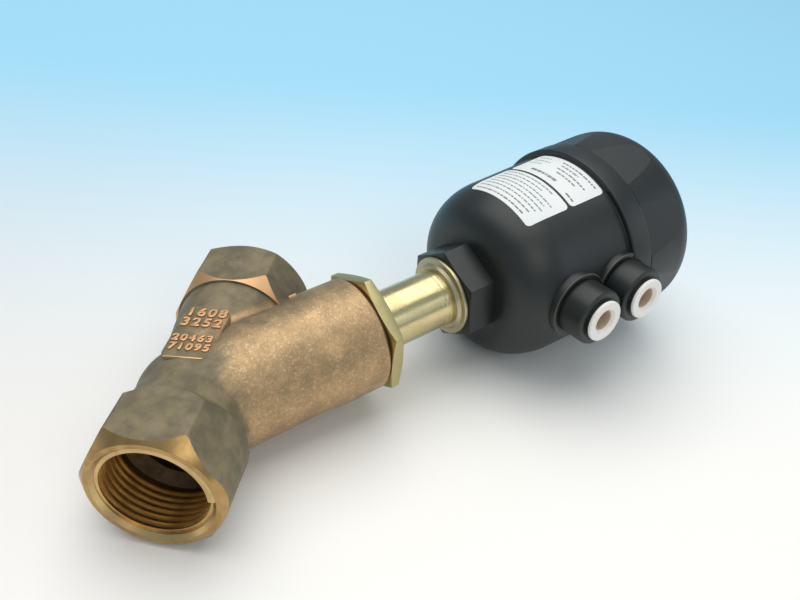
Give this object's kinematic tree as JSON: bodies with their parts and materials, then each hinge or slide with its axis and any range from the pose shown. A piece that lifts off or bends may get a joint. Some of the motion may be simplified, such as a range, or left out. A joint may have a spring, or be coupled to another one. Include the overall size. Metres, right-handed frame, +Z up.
{
  "type": "angle seat valve",
  "caption": "Pneumatic angle seat valve: Y-pattern bronze body with female pipe threads, a brass guide nipple and a black spring-return piston actuator with push-in air connectors.",
  "frame": {"origin": "the centre of the inlet port's face, on the pipe axis", "axes": "+X along the pipe axis, out of the inlet port; +Z up as the valve lies on its side on a bench, so the bonnet leans back over the outlet port, towards -X and +Y, and rises a little"},
  "size_m": [0.1562, 0.1437, 0.06],
  "materials": {
    "cast_bronze": "sand-cast gunmetal with an oxidised skin",
    "machined_brass": "turned, satin",
    "stainless_steel": "turned",
    "spring_steel": "drawn wire",
    "seal_rubber": "moulded",
    "white_ptfe": "turned PTFE",
    "graphite": "pressed graphite sheet",
    "white_collet": "moulded",
    "black_polyamide": "glass-filled polyamide, satin",
    "grey_polyamide": "moulded",
    "pointer_orange": "moulded",
    "clear_window": "clear moulded plastic"
  },
  "bodies": {
    "valve": {"valve_body": "cast_bronze", "guide_nipple": "machined_brass", "nipple_gasket": "graphite", "wiper_ring": "white_ptfe", "packing_ring_1": "white_ptfe", "packing_ring_2": "white_ptfe", "packing_ring_3": "white_ptfe", "packing_ring_4": "white_ptfe", "packing_thrust_ring": "white_ptfe", "packing_spring": "spring_steel", "guide_bush": "white_ptfe", "seating_collar": "stainless_steel", "retaining_clip": "stainless_steel"},
    "actuator": {"actuator_housing": "black_polyamide", "base_o_ring": "seal_rubber", "actuator_cap": "black_polyamide", "cap_o_ring": "seal_rubber", "indicator_window": "clear_window", "spring_plate": "stainless_steel", "outer_return_spring": "spring_steel", "inner_return_spring": "spring_steel", "lower_connector_body": "black_polyamide", "lower_tube_o_ring": "seal_rubber", "lower_connector_sleeve": "black_polyamide", "upper_connector_body": "black_polyamide", "upper_tube_o_ring": "seal_rubber", "upper_connector_sleeve": "black_polyamide"},
    "stem": {"spindle": "stainless_steel", "valve_disc": "stainless_steel", "seat_seal": "white_ptfe", "seal_washer": "stainless_steel", "disc_nut": "stainless_steel", "piston": "grey_polyamide", "piston_seal": "seal_rubber", "piston_nut": "stainless_steel", "position_pointer": "pointer_orange"},
    "lower_collet": {"lower_collet": "white_collet"},
    "upper_collet": {"upper_collet": "white_collet"}
  },
  "joints": [
    {"name": "actuator_swivel", "type": "hinge", "parent": "valve", "child": "actuator", "pos_m": [-0.08557, 0.05606, 0.00758], "axis": [-0.7071, 0.7007, 0.0947], "continuous": true},
    {"name": "stem_lift", "type": "slide", "parent": "valve", "child": "stem", "axis": [-0.7071, 0.7007, 0.0947], "range_m": [0, 0.008], "stiffness_N_per_m": 1200, "springref_m": -0.003, "deforming": ["outer_return_spring", "inner_return_spring"]},
    {"name": "lower_collet_push", "type": "slide", "parent": "actuator", "child": "lower_collet", "axis": [-0.7071, -0.7007, -0.0947], "range_m": [0, 0.0007], "stiffness_N_per_m": 300},
    {"name": "upper_collet_push", "type": "slide", "parent": "actuator", "child": "upper_collet", "axis": [-0.7071, -0.7007, -0.0947], "range_m": [0, 0.0007], "stiffness_N_per_m": 300}
  ]
}
